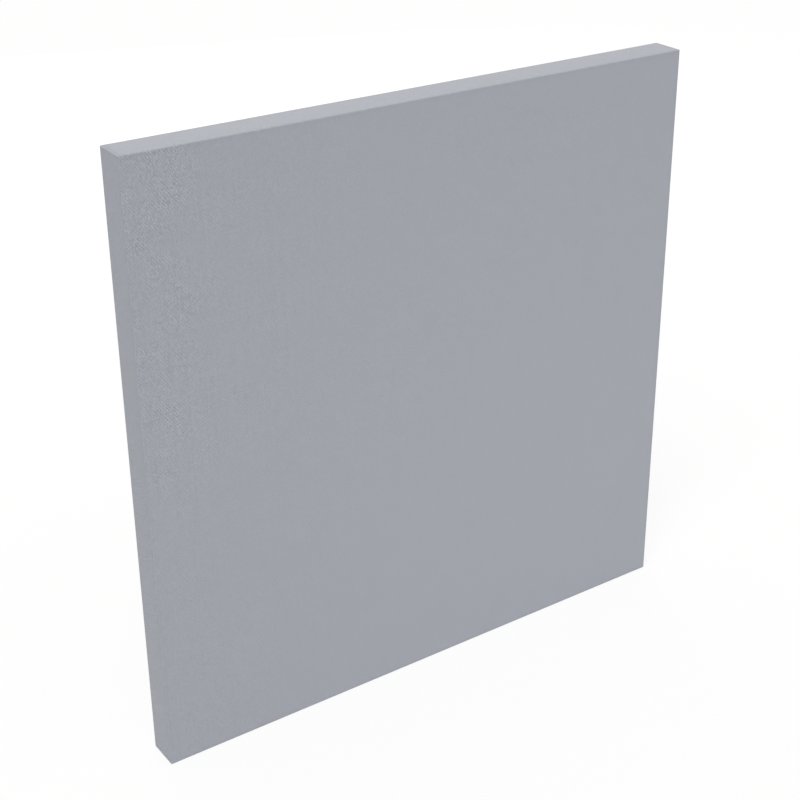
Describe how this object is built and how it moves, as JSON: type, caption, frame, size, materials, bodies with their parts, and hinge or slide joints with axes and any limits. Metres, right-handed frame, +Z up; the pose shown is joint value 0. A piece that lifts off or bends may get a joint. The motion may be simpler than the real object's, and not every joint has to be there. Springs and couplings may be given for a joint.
{
  "type": "acoustic wall panel",
  "caption": "Thin square sound-absorbing wall panel, one woven cloth stretched over a framed slab, turned and stapled at the back, hung flush by keyhole plates.",
  "frame": {"origin": "middle of the panel's back, on the plane of the wall", "axes": "+Y into the wall, +Z up as it hangs, +X to the right of someone who faces the panel"},
  "size_m": [0.6, 0.034, 0.6],
  "materials": {
    "cloth": "fine weave with a faint slanting line, matt, pale blue-grey",
    "fleece": "thin matt tissue, dark grey",
    "mineral_wool": "fibrous, olive yellow",
    "frame_timber": "planed softwood, unfinished",
    "dowel_wood": "turned beech, unfinished",
    "plate_steel": "zinc plated, satin",
    "screw_steel": "zinc plated, satin",
    "staple_wire": "galvanised wire, satin"
  },
  "bodies": {
    "root": {"fabric_cover": "cloth", "rear_fleece": "fleece", "absorber_core": "mineral_wool", "top_rail": "frame_timber", "bottom_rail": "frame_timber", "left_stile": "frame_timber", "right_stile": "frame_timber", "corner_dowels": "dowel_wood", "left_hanger_plate": "plate_steel", "right_hanger_plate": "plate_steel", "hanger_screws": "screw_steel", "cover_staples": "staple_wire"}
  },
  "joints": []
}
